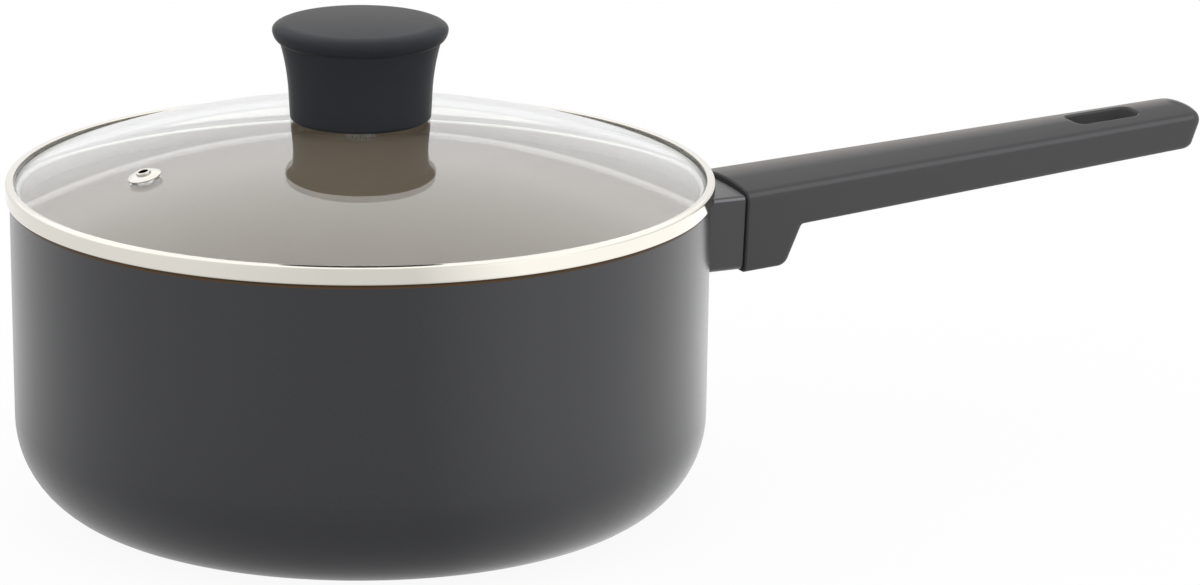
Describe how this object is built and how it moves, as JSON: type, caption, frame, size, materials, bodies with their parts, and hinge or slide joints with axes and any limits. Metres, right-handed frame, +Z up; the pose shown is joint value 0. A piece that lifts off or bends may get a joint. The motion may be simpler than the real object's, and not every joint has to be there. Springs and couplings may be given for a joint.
{
  "type": "saucepan with glass lid",
  "caption": "Deep round saucepan with a dark satin outside, one long grip handle and a domed glass lid in a steel band, lifted by a flared knob, for cooking and heating food.",
  "frame": {"origin": "centre of the pan's base, on the surface it stands on", "axes": "+X along the handle, away from the pan; +Z up, from the base to the knob"},
  "size_m": [0.3812, 0.2074, 0.1464],
  "materials": {
    "painted_aluminium": "satin dark grey outside, taupe non-stick inside",
    "stainless": "polished",
    "base_steel": "brushed",
    "bracket_aluminium": "cast",
    "ferrule_aluminium": "satin dark grey paint",
    "grip_plastic": "soft matte",
    "knob_plastic": "soft matte",
    "lid_glass": "clear",
    "seal": "translucent silicone"
  },
  "bodies": {
    "pan": {"pan_body": "painted_aluminium", "induction_plate": "base_steel", "handle_bracket": "bracket_aluminium", "handle_ferrule": "ferrule_aluminium", "handle_grip": "grip_plastic", "handle_screw": "stainless", "handle_lock_washer": "stainless"},
    "lift_washer": {"knob_washer": "stainless"},
    "lid": {"lid_glass": "lid_glass", "lid_rim": "stainless", "rim_bedding": "seal", "vent_eyelet": "stainless", "vent_washer": "stainless", "upper_gasket": "seal", "lower_gasket": "seal", "knob_body": "knob_plastic", "knob_cap": "knob_plastic", "knob_nut": "stainless", "knob_screw": "stainless"}
  },
  "joints": [
    {"name": "lid_lift", "type": "slide", "parent": "pan", "child": "lift_washer", "axis": [0, 0, 1], "range_m": [0, 0.15]},
    {"name": "lid_turn", "type": "hinge", "parent": "lift_washer", "child": "lid", "pos_m": [0, 0, 0.11], "axis": [0, 0, 1], "continuous": true}
  ]
}
